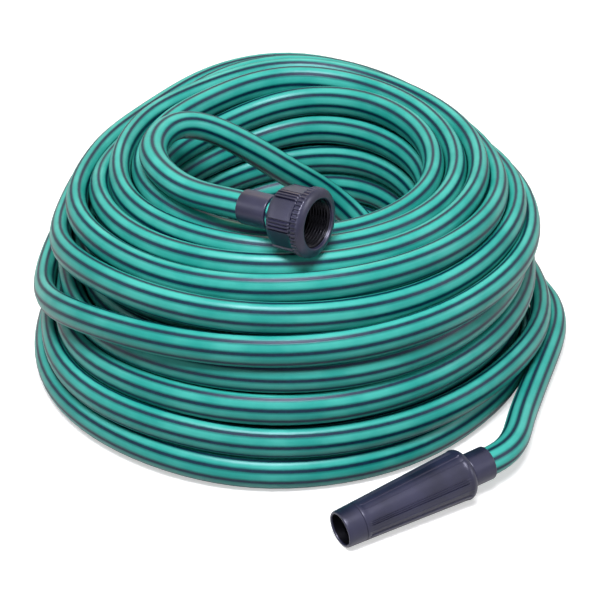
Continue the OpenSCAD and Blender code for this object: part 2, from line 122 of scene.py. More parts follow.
# How a turn leaves its place, at angles in the camera's frame: outward and upward.
WAYS = {
    "I": {180: (0, 0), 195: (3, 0), 205: (5, 0), 215: (5, 0), 225: (4, 2), 235: (4, 3),
          245: (4, 3), 256: (4, 2), 268: (2, 0), 285: (0, 0), 315: (0, 0), 330: (5, 0),
          345: (9, 0), 355: (10, 0), 5: (9, 0), 15: (6, 0), 30: (2, 0), 45: (0, 0)},
    "J": {200: (0, 0), 225: (0, 0), 243: (2, 0), 258: (0, 0), 275: (0, 0)},
    "H": {160: (-2, 0), 180: (-3, 1), 195: (-2, 0), 205: (2, -1), 225: (3, 1), 243: (1, 3),
          262: (0, 0), 300: (0, 0), 325: (0, -1), 340: (4, -4), 352: (8, -6), 5: (8, -6),
          20: (4, -4), 40: (0, -1)},
    "G": {120: (-5, 0), 140: (-12, 0), 160: (-16, -1), 190: (-15, -1), 203: (-5, -2),
          217: (0, -3), 235: (0, -1), 270: (0, 1), 300: (-1, 4), 325: (-5, 6), 350: (-8, 4),
          10: (-6, 3), 40: (-2, 1)},
    "c1": {120: (-5, 0), 140: (-10, 0), 160: (-13, 0), 190: (-12, 0), 215: (-3, 0)},
    "c2": {120: (-5, 0), 140: (-10, 0), 160: (-12, 0), 190: (-11, 0), 215: (-3, 0)},
    "F": {120: (-4, -2), 140: (-11, 0), 160: (-14, 1), 190: (-12, 1), 203: (-5, -4),
          215: (1, -8), 235: (1, -6), 255: (0, -3), 270: (0, 0), 300: (-1, 3), 325: (-5, 5),
          345: (-8, 2), 10: (-9, 0), 30: (-8, -2), 50: (-4, -1)},
    "E": {108: (0, -5), 129: (2, -18), 145: (4, -30), 160: (4.5, -41), 172: (3.5, -45),
          182: (3.2, -45), 192: (4.5, -39), 202: (6, -30), 212: (6, -20), 224: (4, -12),
          238: (2.5, -6.5), 255: (1, -2.5), 270: (0.5, 0), 300: (0, 4), 320: (-1.5, 5),
          340: (-4, 2), 355: (-3.5, -2), 15: (-1, -5), 35: (0, -8), 55: (0, -5)},
    "L": {120: (-4, -1), 140: (-9, -1), 190: (-9, -3), 210: (0, -4), 240: (0, 0),
          320: (-2, 0), 340: (-4, 0), 20: (-5, 0), 50: (-2, 0)},
    "D": {110: (-1, -4), 129: (-4, -13), 150: (-8, -17), 168: (-9, -22), 180: (-7, -25),
          190: (-3, -23), 205: (1, -14), 225: (1, -5), 250: (1.5, -2), 270: (0, -2),
          285: (-3, -4), 300: (-5, -6), 330: (-5, -6), 345: (-3, -7), 0: (-4, -8),
          15: (-7, -10), 28: (-8, -14), 40: (-5, -14), 52: (-2, -9), 66: (0, -4)},
    "C": {115: (0, -4), 129: (-4, -9), 140: (-6, -11), 150: (-7, -11), 160: (-9, -9),
          170: (-10, -8), 180: (-8, -7), 192: (-2, -5), 205: (3, -4), 270: (5, -4),
          325: (3, -3), 345: (-1, -5), 10: (-4, -8), 35: (-4, -9), 50: (-1, -6), 64: (0, -3)},
    "B": {115: (-1, -3), 129: (-4, -8), 140: (-6, -12), 160: (-6, -12), 180: (-4, -8),
          195: (-1, -4), 215: (2, -3), 245: (6, -1), 270: (7, 0), 300: (6, 0),
          330: (4, 0), 0: (0, -1), 30: (-1, -2)},
    "A2": {130: (-3, -1), 160: (-3, 0), 190: (2, 0), 215: (7, 1), 245: (6, 1), 270: (5, 0),
           300: (3, 0), 330: (3, 0), 10: (0, 0)},
    "A1": {160: (1, 0), 215: (5, 1), 270: (5, 0), 300: (5, 0), 330: (2, 0), 10: (0, 0)},
}
# How freely a turn gives way to its neighbours; the turns inside do so most.
GIVE = {"H": 0.12, "G": 0.12, "F": 0.12, "E": 0.02, "D": 0.03, "C": 0.05, "B": 0.08,
        "A2": 0.1, "A1": 0.1, "I": 0.02, "J": 0.15, "c1": 0.4, "c2": 0.4, "last": 0.05}
GIVE_LEAD, GIVE_HOLE, GIVE_INSIDE = 0.02, 0.1, 1.0
# The nozzle's end lies on the floor outside the lowest turn: angle, radius, height.
NOZZLE_LINE = [(-46.0, 183.2, 14.9), (-39.7, 173.6, 12.6), (-32.3, 166.2, 10.7),
               (-24.1, 162.6, 9.9), (-15.3, 163.0, 9.9), (-8.8, 165.4, 9.9),
               (-3.1, 167.6, 9.9), (1.7, 168.2, 9.9), (7.4, 167.2, 9.9), (15, 164.4, 9.9),
               (22, 160.8, 9.9), (30, 157.2, 9.9), (39, 154.5, 9.9), (50, 153.2, 10),
               (62, 153, 10), (76, 153, 10)]
# From the hole up to the tap connector, in the part's frame.
TAP_ROUTE = [(34.1, -59.1, 11), (48.2, -48.0, 15), (59.1, -34.1, 22), (65.4, -17.5, 32),
             (65.9, 0.5, 44), (56.8, 16.1, 59), (41.2, 25.2, 75), (23, 28, 91),
             (6, 31, 106), (-9, 35, 119), (-24, 41, 130), (-40, 44.5, 138),
             (-56.1, 41.2, 142.6), (-72.4, 30.4, 143.6), (-83.2, 14.1, 143.6),
             (-87, -5, 143.6), (-86.4, -22, 143.6), (-83, -38, 144.6), (-77.4, -53, 146.6)]
# The hose's ends inside their fittings, in the part's frame: place, and the way out.
TAP_AT, TAP_WAY = np.array([-69.8, -69.6, 148.9]), np.array([0.420302, -0.901341, 0.104528])
NOZZLE_AT, NOZZLE_WAY = np.array([16.8, -186.5, 15.8]), np.array([-0.998563, 0, -0.053582])
TAP_STRAIGHT, NOZZLE_STRAIGHT = 4, 5    # how far the hose runs straight behind them
LAST_TURN_END = 226.0            # degrees of the last turn
LEAD_WOUND_FROM = 0.78           # share of a turn from which the lead is evened with the coil
WANDER = [(1.31, 0.35), (2.17, 0.3), (3.73, 0.22), (5.91, 0.12)]    # waves a turn, and mm
WANDER_EASE = 0.3                # turns at each end over which it sets in
BULGE = (4.5, 3.0)               # how far the crown stands out and up at the very back
BULGE_WIDE = 26.0                # degrees
BULGE_LOW, BULGE_RISE = 75, 35   # height at which it starts, and over which it grows
FAR_AWAY = 900.0                 # radius and height for rings that the lead does not pass

# How turns are pushed apart and evened.
APART = 0.35                     # beyond the section, where there is room
PUSH, EASE = 14, 0.6             # mm for an overlap of 1, and the share taken in one round
SETTLE_ROUNDS, EVEN_EVERY = 240, 30
EVEN_WIDE, EVEN_LAST = 3.0, 2.0  # rings
EVEN_REACH = 12                  # rings each way
SINK = 0.2                       # how far a turn may go below Z0


def turned(points, angle):
    """Points turned round Z."""
    p = np.asarray(points, float)
    c, s = math.cos(angle), math.sin(angle)
    return p @ np.array([[c, s, 0], [-s, c, 0], [0, 0, 1]])


def periodic(table, at):
    """Values at angles past the back, smooth and without overshoot, through a turn's table,
    which is zero at the back."""
    keys = sorted(((a - BACK) % 360, v) for a, v in table.items())
    xs = np.array([0.0] + [k for k, v in keys] + [360.0])
    out = []
    for axis in (0, 1):
        ys = np.array([0.0] + [v[axis] for k, v in keys] + [0.0])
        h, d = np.diff(xs), np.diff(ys) / np.diff(xs)
        m = np.zeros(len(xs))
        for i in range(1, len(xs) - 1):
            if d[i - 1] * d[i] > 0:
                w1, w2 = 2 * h[i] + h[i - 1], h[i] + 2 * h[i - 1]
                m[i] = (w1 + w2) / (w1 / d[i - 1] + w2 / d[i])
        i = np.clip(np.searchsorted(xs, at, side="right") - 1, 0, len(h) - 1)
        t = (at - xs[i]) / h[i]
        out.append(ys[i] * (1 + 2 * t) * (1 - t) ** 2 + h[i] * m[i] * t * (1 - t) ** 2
                   + ys[i + 1] * t * t * (3 - 2 * t) + h[i] * m[i + 1] * t * t * (t - 1))
    return np.stack(out, 1)


def smooth(x):
    """From 0 to 1 as x goes from 0 to 1, level at both ends."""
    x = np.clip(x, 0, 1)
    return x * x * (3 - 2 * x)


def spline(points, step):
    """Points every step along a natural cubic spline."""
    p = np.asarray(points, float)
    t = np.concatenate([[0], np.cumsum(np.linalg.norm(np.diff(p, axis=0), axis=1))])
    h, n = np.diff(t), len(t)
    a, b = np.zeros((n, n)), np.zeros((n, p.shape[1]))
    a[0, 0] = a[-1, -1] = 1
    for i in range(1, n - 1):
        a[i, i - 1], a[i, i], a[i, i + 1] = h[i - 1], 2 * (h[i - 1] + h[i]), h[i]
        b[i] = 6 * ((p[i + 1] - p[i]) / h[i] - (p[i] - p[i - 1]) / h[i - 1])
    m = np.linalg.solve(a, b)
    at = np.linspace(0, t[-1], max(2, int(round(t[-1] / step))) + 1)
    i = np.clip(np.searchsorted(t, at, side="right") - 1, 0, n - 2)
    u, hi = (at - t[i])[:, None], h[i][:, None]
    w = hi - u
    return (m[i] * w ** 3 / (6 * hi) + m[i + 1] * u ** 3 / (6 * hi)
            + (p[i] / hi - m[i] * hi / 6) * w + (p[i + 1] / hi - m[i + 1] * hi / 6) * u)


def wander(n):
    """Slow, small departures of radius and height, so that no turn lies quite true."""
    s = np.arange(n) / RINGS
    out = np.zeros((n, 2))
    for k, (f, amp) in enumerate(WANDER):
        out[:, 0] += amp * np.sin(2 * math.pi * f * s + 1.7 * k + 0.4)
        out[:, 1] += amp * np.sin(2 * math.pi * f * 1.13 * s + 2.3 * k + 2.1)
    return out * smooth(np.minimum(s, s[::-1]) / WANDER_EASE)[:, None]


def place():
    """Radius and height at every ring of the winding, which starts at the back."""
    at = np.array([[r, z] for _, r, z in TURNS])
    ang = np.arange(len(TURNS) * RINGS) * 360 / RINGS
    turn = (ang / 360).astype(int)
    inside = ang - 360 * turn
    path = at[turn]
    for i, (name, _, _) in enumerate(TURNS[:-1]):
        shift, wide = STEPS.get(name, STEP)
        part = smooth((ang - 360 * (i + 1) - shift) / wide + 0.5)[:, None]
        here = part * (at[i + 1] - at[i])
        here[(i + 1) * RINGS:] -= at[i + 1] - at[i]
        path += here
    for i, (name, _, _) in enumerate(TURNS):
        if name in WAYS:
            rows = slice(i * RINGS, (i + 1) * RINGS)
            path[rows] += periodic(WAYS[name], inside[rows])
    back = np.exp(-((inside - 360 * (inside > 180)) / BULGE_WIDE) ** 2)
    path += back[:, None] * smooth((path[:, 1:] - BULGE_LOW) / BULGE_RISE) * BULGE
    return path + wander(len(path))


def even(path, wide):
    """Takes short kinks out of the winding, and keeps its ends."""
    k = np.arange(-EVEN_REACH, EVEN_REACH + 1)
    w = np.exp(-0.5 * (k / wide) ** 2)
    w /= w.sum()
    far = np.pad(path, ((EVEN_REACH, EVEN_REACH), (0, 0)), "edge")
    return np.stack([np.convolve(far[:, c], w, "valid") for c in (0, 1)], 1)


def settle(path, lead):
    """Pushes turns apart where they would run into each other, and keeps them off the floor.
    lead is the stretch outside the first turn, which stays. q is 1 where two ovals touch."""
    n = len(TURNS) + 1
    give = np.array([GIVE_LEAD] + [
        GIVE.get(name, GIVE_HOLE if name.startswith("J") else GIVE_INSIDE)
        for name, _, _ in TURNS])
    share = (give[:, None] / (give[:, None] + give[None]))[..., None]
    home = path.copy()
    for turn in range(SETTLE_ROUNDS):
        p = np.concatenate([lead[None], path.reshape(n - 1, RINGS, 2)])
        d = p[:, None] - p[None]
        q = np.sqrt((d[..., 0] / (W + APART)) ** 2 + (d[..., 1] / (H + APART)) ** 2)
        q[np.arange(n), np.arange(n)] = np.inf    # no turn pushes itself
        grad = np.stack([d[..., 0] / W ** 2, d[..., 1] / H ** 2], -1)
        grad /= np.maximum(np.linalg.norm(grad, axis=-1, keepdims=True), 1e-9)
        size = np.clip(1 - q, 0, None) * PUSH * share
        push = (grad * size[..., None]).sum(1) * EASE
        move = push[1:].reshape(-1, 2)
        for _ in range(3):
            move = (np.roll(move, 1, 0) + 2 * move + np.roll(move, -1, 0)) / 4
        path += move
        if turn % EVEN_EVERY == EVEN_EVERY - 1:
            last = turn >= SETTLE_ROUNDS - EVEN_EVERY
            path = home + even(path - home, EVEN_LAST if last else EVEN_WIDE)
        path[:, 1] = np.maximum(path[:, 1], Z0 - SINK)
    return path


def nozzle_lead():
    """The hose from the nozzle's end to the winding, in the camera's frame."""
    out = turned([NOZZLE_AT, NOZZLE_AT - NOZZLE_STRAIGHT * NOZZLE_WAY], -VIEW_TURN)
    angle, r, z = np.array(NOZZLE_LINE, float).T
    a = np.radians(angle)
    stops = np.stack([r * np.cos(a), r * np.sin(a), z], 1)
    return spline(np.concatenate([out, stops, [[0, WALL_R, Z0]]]), POINT_STEP)


def lead_at_rings(lead_in):
    """Radius and height of the lead at the rings that it passes, and far away at the rest."""
    lead = np.full((RINGS, 2), FAR_AWAY)
    a = (np.degrees(np.arctan2(lead_in[:, 1], lead_in[:, 0])) - BACK) % 360
    order = np.argsort(a)
    ring = np.arange(RINGS) * 360 / RINGS
    seen = ring >= a[order][0]
    r = np.hypot(lead_in[:, 0], lead_in[:, 1])
    for axis, values in enumerate((r, lead_in[:, 2])):
        lead[seen, axis] = np.interp(ring[seen], a[order], values[order])
    return lead


def hose_line():
    """Centre points of the whole hose, nozzle's end first, in the camera's frame."""
    lead_in = nozzle_lead()
    lead = lead_at_rings(lead_in)
    path = settle(place(), lead)
    first = int(RINGS * LEAD_WOUND_FROM)
    path = even(np.concatenate([lead[first:], path]), EVEN_LAST)
    a = np.radians(BACK + (np.arange(len(path)) + first - RINGS) * 360 / RINGS)
    coil = np.stack([path[:, 0] * np.cos(a), path[:, 0] * np.sin(a), path[:, 1]], 1)
    coil = coil[:RINGS - first + int((len(TURNS) - 1 + LAST_TURN_END / 360) * RINGS) + 1]
    lead_in = lead_in[:np.argmin(np.linalg.norm(lead_in - coil[0], axis=1))]
    rise = turned(TAP_ROUTE + [tuple(TAP_AT - TAP_STRAIGHT * TAP_WAY), tuple(TAP_AT)], -VIEW_TURN)
    # the rise starts on two points of the coil, and what lies before the coil's end is cut off
    rise = spline(np.concatenate([coil[[-4, -1]], rise]), POINT_STEP)
    joint = np.argmin(np.linalg.norm(rise - coil[-1], axis=1)) + 1
    line = np.concatenate([lead_in, coil, rise[joint:]])
    for _ in range(3):
        line[1:-1] = (line[:-2] + 2 * line[1:-1] + line[2:]) / 4
    return line


# ---------------------------------------------------------------- mesh helpers
def to_part(points):
    """Millimetres in the camera's frame to metres in the part's frame."""
    return turned(points, VIEW_TURN) * MM + np.array(PILE)


def new_object(name, verts, faces, uv=None, sharp=None):
    """A smooth mesh; edges over sharp degrees stay sharp."""
    mesh = bpy.data.meshes.new(name)
    mesh.from_pydata([tuple(v) for v in verts], [], faces)
    if uv is not None:
        layer = mesh.uv_layers.new(name="UVMap")
        layer.data.foreach_set("uv", np.asarray(uv, np.float32).ravel())
    mesh.shade_smooth()
    if sharp is not None:
        mesh.set_sharp_from_angle(angle=math.radians(sharp))
    mesh.validate()
    mesh.update()
    obj = bpy.data.objects.new(name, mesh)
    bpy.context.scene.collection.objects.link(obj)
    return obj


TUBE_SIDES = 28
OVAL_POWER = 1.04                # makes the oval a little leaner than an ellipse
OVAL_RATIO, RATIO_SPAN = 0.68, 0.32     # width by height of the full oval, and from it to 1
LATHE_SHARP = 50                 # degrees
LATHE_V = 50                     # mm of profile in one unit of v


def tube(name, line, wide, high, roll):
    """An oval tube along a line in the part's frame, metres; u goes once round it from its
    outer side, and v is metres along it. wide, high and roll are given for each point."""
    n = len(line)
    way = np.gradient(line, axis=0)
    way /= np.linalg.norm(way, axis=1, keepdims=True)
    side = np.cross(way, [0, 0, 1.0])
    side /= np.linalg.norm(side, axis=1, keepdims=True)
    up = np.cross(side, way)
    a = np.arange(TUBE_SIDES) * 2 * math.pi / TUBE_SIDES
    c, s = np.cos(a), np.sin(a)
    oval_c, oval_s = np.sign(c) * np.abs(c) ** OVAL_POWER, np.sign(s) * np.abs(s) ** OVAL_POWER
    roundness = np.clip((wide / high - OVAL_RATIO) / RATIO_SPAN, 0, 1)[:, None]
    c = oval_c * (1 - roundness) + c * roundness
    s = oval_s * (1 - roundness) + s * roundness
    rings = (line[:, None] + side[:, None] * ((wide / 2)[:, None] * c)[..., None]
             + up[:, None] * ((high / 2)[:, None] * s)[..., None])
    along = np.concatenate([[0], np.cumsum(np.linalg.norm(np.diff(line, axis=0), axis=1))])
    faces, uv = [], []
    for i in range(n - 1):
        this, after = i * TUBE_SIDES, (i + 1) * TUBE_SIDES
        for k in range(TUBE_SIDES):
            k2 = (k + 1) % TUBE_SIDES
            faces.append((this + k, this + k2, after + k2, after + k))
            u0, u1 = k / TUBE_SIDES, (k + 1) / TUBE_SIDES
            uv += [(u0 + roll[i], along[i]), (u1 + roll[i], along[i]),
                   (u1 + roll[i + 1], along[i + 1]), (u0 + roll[i + 1], along[i + 1])]
    return new_object(name, rings.reshape(-1, 3), faces, uv)


def lathe(name, profile, origin, way, sides, shape=None):
    """A turned piece about an axis: profile is a closed outline of (along, radius) in mm.
    shape(angle, along, radius) may change the radius. u goes round, v along the profile."""
    way = np.array(way, float)
    way /= np.linalg.norm(way)
    side = np.cross(way, (0, 0, 1))
    side /= np.linalg.norm(side)
    top = np.cross(side, way)
    prof = np.array(profile, float)
    a = np.arange(sides) * 2 * math.pi / sides
    rad = np.repeat(prof[:, 1][:, None], sides, 1)
    if shape is not None:
        rad = shape(np.degrees(a)[None], prof[:, 0][:, None], rad)
    pts = (np.array(origin) + prof[:, 0][:, None, None] * way
           + (rad * np.cos(a))[..., None] * side + (rad * np.sin(a))[..., None] * top)
    faces, uv = [], []
    run = np.concatenate([[0], np.cumsum(np.linalg.norm(np.diff(prof, axis=0), axis=1))])
    for i in range(len(prof)):
        j = (i + 1) % len(prof)
        v0, v1 = run[i] / LATHE_V, (run[j] if j else run[-1] + 1) / LATHE_V
        for k in range(sides):
            k2 = (k + 1) % sides
            faces.append((i * sides + k, j * sides + k, j * sides + k2, i * sides + k2))
            u0, u1 = k / sides, (k + 1) / sides
            uv += [(u0, v0), (u0, v1), (u1, v1), (u1, v0)]
    return new_object(name, pts.reshape(-1, 3) * MM, faces, uv, LATHE_SHARP)


# ---------------------------------------------------------------- materials
class Nodes:
    """The nodes of a material or a world, made and joined in short lines."""
    def __init__(self, owner):
        owner.use_nodes = True
        self.owner = owner
        self.tree = owner.node_tree
        self.tree.nodes.clear()

    def node(self, kind, **props):
        n = self.tree.nodes.new("ShaderNode" + kind)
        for k, v in props.items():
            setattr(n, k, v)
        return n

    def put(self, socket, value):
        if isinstance(value, bpy.types.NodeSocket):
            self.tree.links.new(value, socket)
        else:
            socket.default_value = value

    def math(self, op, *values):
        n = self.node("Math", operation=op)
        for socket, value in zip(n.inputs, values):
            self.put(socket, value)
        return n.outputs[0]

    def ramp(self, value, lo, hi, to_lo=0.0, to_hi=1.0):
        n = self.node("MapRange", interpolation_type="SMOOTHSTEP")
        for socket, given in zip(n.inputs, (value, lo, hi, to_lo, to_hi)):
            self.put(socket, given)
        return n.outputs[0]

    def mix(self, share, a, b):
        n = self.node("Mix", data_type="RGBA")
        self.put(n.inputs[0], share)
        self.put(n.inputs[6], a)        # 6, 7 and 2 are the node's colour sockets
        self.put(n.inputs[7], b)
        return n.outputs[2]

    def noise(self, where, scale, detail=3.0, rough=0.5):
        n = self.node("TexNoise")
        self.put(n.inputs["Vector"], where)
        self.put(n.inputs["Scale"], scale)
        self.put(n.inputs["Detail"], detail)
        self.put(n.inputs["Roughness"], rough)
        return n.outputs[0]

    def coords(self):
        """The object's own coordinates."""
        return self.node("TexCoord").outputs["Object"]

    def seen_rays(self):
        """1 for the rays that the camera sees, straight, mirrored or through something."""
        rays = self.node("LightPath").outputs
        other = self.math("MAXIMUM", rays["Is Glossy Ray"], rays["Is Transmission Ray"])
        return self.math("MAXIMUM", rays["Is Camera Ray"], other)


class Surface(Nodes):
    """A material with one principled shader."""
    def __init__(self, name):
        super().__init__(bpy.data.materials.new(name))
        self.shader = self.node("BsdfPrincipled")
        self.put(self.node("OutputMaterial").inputs["Surface"], self.shader.outputs[0])

    def set(self, **inputs):
        """Puts values on the shader's inputs, whose names have _ for a space here."""
        for name, value in inputs.items():
            self.put(self.shader.inputs[name.replace("_", " ")], value)

    def bump(self, height, strength, distance):
        n = self.node("Bump")
        self.put(n.inputs["Height"], height)
        self.put(n.inputs["Strength"], strength)
        self.put(n.inputs["Distance"], distance)
        self.set(Normal=n.outputs[0])


def srgb(r, g, b):
    """Linear colour from 0 to 255 screen values."""
    def one(c):
        c /= 255
        return c / 12.92 if c <= 0.04045 else ((c + 0.055) / 1.055) ** 2.4
    return (one(r), one(g), one(b), 1.0)


STRIPES = 8
STRIPE_EDGE = (0.08, 0.165)      # from a stripe's middle, in shares of the stripes' pitch
SHADE_EDGE = (0.12, 0.36)        # the same for the darker teal beside it
CLOUDS = (0.3, 0.7)              # the middle range of a noise


def hose_vinyl():
    """Teal vinyl with dark stripes along it, whose edges are slightly uneven."""
    m = Surface("hose_vinyl")
    uv = m.node("SeparateXYZ")
    m.put(uv.inputs[0], m.node("UVMap", uv_map="UVMap").outputs[0])
    where = m.coords()
    edge = m.noise(where, 900.0, 2.0)
    cloud = m.noise(where, 38.0, 4.0)
    fine = m.noise(where, 420.0, 3.0, 0.6)
    pitch = m.math("FRACT", m.math("MULTIPLY", uv.outputs["X"], float(STRIPES)))
    off = m.math("ABSOLUTE", m.math("SUBTRACT", pitch, 0.5))
    off = m.math("ADD", off, m.math("MULTIPLY", m.math("SUBTRACT", edge, 0.5), 0.03))
    stripe = m.ramp(off, *STRIPE_EDGE, 1.0, 0.0)
    shade = m.ramp(off, *SHADE_EDGE, 1.0, 0.0)
    teal = m.mix(m.ramp(cloud, *CLOUDS), srgb(38, 154, 143), srgb(68, 176, 164))
    teal = m.mix(m.math("MULTIPLY", shade, 0.8), teal, srgb(0, 82, 82))
    dark = m.mix(m.ramp(fine, *CLOUDS), srgb(0, 28, 46), srgb(0, 40, 60))
    rough = m.math("ADD", m.math("MULTIPLY", fine, 0.10), 0.30)
    rough = m.math("ADD", rough, m.math("MULTIPLY", stripe, 0.06))
    # Specular_Tint paints a lavender cast into the reflections, standing in for tinted light
    m.set(Base_Color=m.mix(stripe, teal, dark), Roughness=rough,
          Specular_IOR_Level=0.32, Specular_Tint=(0.78, 0.8, 1.0, 1.0))
    waves = m.math("MULTIPLY", m.noise(where, 150.0, 2.0), 0.6)
    height = m.math("ADD", m.math("MULTIPLY", stripe, 0.5), waves)
    m.bump(m.math("ADD", height, m.math("MULTIPLY", fine, 0.25)), 0.35, 0.0004)
    return m.owner


def moulded_black(name, lo=(18, 18, 37), hi=(33, 33, 56), rough=0.33, gloss=0.62):
    """Satin black moulded plastic with a faint purple cast."""
    m = Surface(name)
    where = m.coords()
    cloud = m.noise(where, 60.0, 4.0)
    grain = m.noise(where, 1600.0, 2.0, 0.6)
    uneven = m.math("ADD", m.math("MULTIPLY", grain, 0.08), rough - 0.1)
    uneven = m.math("ADD", m.math("MULTIPLY", cloud, 0.14), uneven)
    # Specular_Tint paints a lavender cast into the reflections, standing in for tinted light
    m.set(Base_Color=m.mix(m.ramp(cloud, *CLOUDS), srgb(*lo), srgb(*hi)), Roughness=uneven,
          Specular_IOR_Level=gloss, Specular_Tint=(0.82, 0.82, 1.0, 1.0))
    m.bump(m.math("ADD", grain, m.math("MULTIPLY", cloud, 0.5)), 0.18, 0.0002)
    return m.owner


def seal_rubber():
    """Dull rubber of the washer, the O-rings and the wiper."""
    m = Surface("seal_rubber")
    where = m.coords()
    cloud = m.noise(where, 120.0, 3.0)
    grain = m.noise(where, 2200.0, 2.0)
    m.set(Base_Color=m.mix(cloud, srgb(20, 20, 22), srgb(40, 39, 42)),
          Roughness=m.math("ADD", m.math("MULTIPLY", grain, 0.2), 0.55))
    m.bump(grain, 0.2, 0.0002)
    return m.owner


VINYL = hose_vinyl()
BLACK = moulded_black("moulded_black")
# Painted shade: a far darker, duller black for a sheet inside the nose's cup, which is the same
# plastic as the rest
PAINTED_SHADE_BLACK = moulded_black("moulded_black_painted_shade", (3, 3, 6), (8, 8, 12), 0.5, 0.12)
# Painted shade: a near-black for the nut's thread and bore, which are the same plastic as its
# outside
BORE_PAINTED_SHADE = moulded_black("moulded_black_bore_painted_shade", (2, 2, 5), (5, 5, 9), 0.26, 0.2)
RUBBER = seal_rubber()

# ---------------------------------------------------------------- the hose
NOZZLE_ROUND, NOZZLE_EASE = 60, 160     # mm of the hose that stay round, and go over to oval
TAP_ROUND, TAP_EASE = 90, 200


def twist(at):
    """How far the hose is twisted about itself, in turns, so that its stripes wander."""
    m = at / 1000
    return 0.02 + m * 0.043 + 0.035 * np.sin(m * 1.9 + 0.6) + 0.02 * np.sin(m * 5.3 + 2.0)


line = hose_line()
part_line = to_part(line)
at = np.concatenate([[0], np.cumsum(np.linalg.norm(np.diff(line, axis=0), axis=1))])
total = at[-1]
pressed = (smooth((at - NOZZLE_ROUND) / NOZZLE_EASE)
           * smooth((total - at - TAP_ROUND) / TAP_EASE))
wide = (ROUND + (W - ROUND) * pressed) * MM
high = (ROUND + (H - ROUND) * pressed) * MM
hose = tube("hose", part_line, wide, high, twist(at))
hose.data.materials.append(VINYL)
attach(hose, "hose")
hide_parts("hose_inner_turns", "hose_coil", "hose_tap_run", "hose_nozzle_run")

# ---------------------------------------------------------------- the hose's ends
# All turned pieces are in millimetres, along their axis from the hose's end in the fitting.
part_pile = np.array(PILE) / MM
TAP_PLACE, NOZZLE_PLACE = TAP_AT + part_pile, NOZZLE_AT + part_pile
HOSE_BORE_R = 6.15
TAP_FLARE = (20.2, 10.4)         # where the hose swells before the nut, and its radius there
NOZZLE_FLARE = (0.6, ROUND / 2 + 0.01)


def hose_end(name, origin, way, length, flare):
    """A round end of hose with its bore; from flare on it has another radius."""
    r, (start, wide) = ROUND / 2, flare
    outline = [(0, HOSE_BORE_R), (0, r - 0.3), (0.3, r), (start, r), (start + 0.05, wide - 0.5),
               (start + 0.35, wide), (length - 0.6, wide), (length - 0.15, wide - 0.25),
               (length, wide - 0.8), (length, HOSE_BORE_R)]
    return lathe(name, outline, origin, way, 64)


tap_end = hose_end("hose_end_tap", TAP_PLACE, TAP_WAY, 21.9, TAP_FLARE)
nozzle_end = hose_end("hose_end_nozzle", NOZZLE_PLACE, NOZZLE_WAY, 14.8, NOZZLE_FLARE)
for piece, node in ((tap_end, "hose_tap_end"), (nozzle_end, "hose_nozzle_end")):
    piece.data.materials.append(VINYL)
    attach(piece, "hose")
    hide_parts(node)

# ---------------------------------------------------------------- fittings from the frame
for name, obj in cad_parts.items():
    if name.startswith("hose"):
        continue
    soft = any(word in name for word in ("seal", "washer", "wiper"))
    obj.data.materials.clear()
    obj.data.materials.append(RUBBER if soft else BLACK)


def bumps(x, at, half, soft):
    """1 within half of at, going to 0 over soft."""
    return 1 - smooth((np.abs(x - at) - half) / soft)


def between(x, a, b, soft):
    """1 between a and b, going to 0 over soft inside them."""
    return smooth((x - a) / soft) * smooth((b - x) / soft)


# ---------------------------------------------------------------- the tap's nut
NUT_R, NECK_R, RING_R = 17.4, 16.45, 19.2    # panels, groove before the ring, toothed ring
NUT_START, CAVITY_START = 22.6, 26.1    # the nut's back, and the room for the tail's flange
GRIP = (25.2, 40.75, 1.4)        # the panels and ribs: from, to, soft ends
NECK_AT = 41.2                   # in the groove between the panels and the ring
PANELS, PANEL_ROLL = 6, 17       # PANEL_ROLL is in degrees
PANEL_DEEP, PANEL_EDGE = 0.75, 11       # mm, and degrees from the ribs' middle
RIBS = ((0, 1.3, 0.8), (6.3, 1.5, 0.9))      # degrees: from the middle, half width, soft edge
RIB_HIGH = 0.5
DIPS = ((0.75, 9.6, 1.0, 0.8), (0.45, 3.2, 0.5, 0.8))    # mm deep, then degrees as for RIBS
TEETH, TOOTH_DEEP, TEETH_END = 48, 0.85, 46.0
TOOTH_HALF, TOOTH_SOFT, TOOTH_RUNOUT = 0.17, 0.14, 1.2   # shares of the pitch, and mm
THREAD_R, CAVITY_R, TAIL_HOLE_R = 13.2, 12.62, 8.1
THREAD = (33.2, 46.2, 0.9)       # from, to, soft ends
CREST_FLANK, CREST_FOOT = 0.36, 0.2     # how wide and how late a crest rises, in turns
THREAD_PITCH, THREAD_DEEP = 1.814, 0.95      # 14 turns to the inch
THREAD_RINGS, THREAD_STEP = 58, 0.2267       # points of the outline, an eighth of a turn apart
PAINTED_SHADE_FACES_R, PAINTED_SHADE_FACES_END = 13.45, 46.6   # faces inside these take the painted shade, a darker black


def nut_shape(angle, along, radius):
    """Panels with three ribs between them, the toothed ring, and the thread."""
    half = 180 / PANELS
    side = np.abs((angle + PANEL_ROLL) % (2 * half) - half)
    bow = (np.clip(side, PANEL_EDGE, half) - half) / (half - PANEL_EDGE)
    flat = -PANEL_DEEP * (1 - bow ** 2) * (side > PANEL_EDGE - 1)
    dip = -sum(deep * bumps(side, *one) for deep, *one in DIPS)
    rib = RIB_HIGH * sum(bumps(side, *one) for one in RIBS)
    outside = (radius > NECK_R - 0.05) & (along < NECK_AT)
    grip = np.where(outside, (flat + dip + rib) * between(along, *GRIP), 0)
    tooth = np.abs((angle / 360 * TEETH) % 1 - 0.5)
    cut = (-TOOTH_DEEP * smooth((tooth - TOOTH_HALF) / TOOTH_SOFT)
           * smooth((TEETH_END - along) / TOOTH_RUNOUT))
    turn = (along / THREAD_PITCH + angle / 360) % 1
    crest = smooth((0.5 - np.abs(turn - 0.5)) / CREST_FLANK - CREST_FOOT)
    crest = crest * between(along, *THREAD)
    bore = (radius == THREAD_R) & (along > THREAD[0])
    return (radius + grip + np.where(radius > RING_R - 0.7, cut, 0)
            - np.where(bore, THREAD_DEEP * crest, 0))


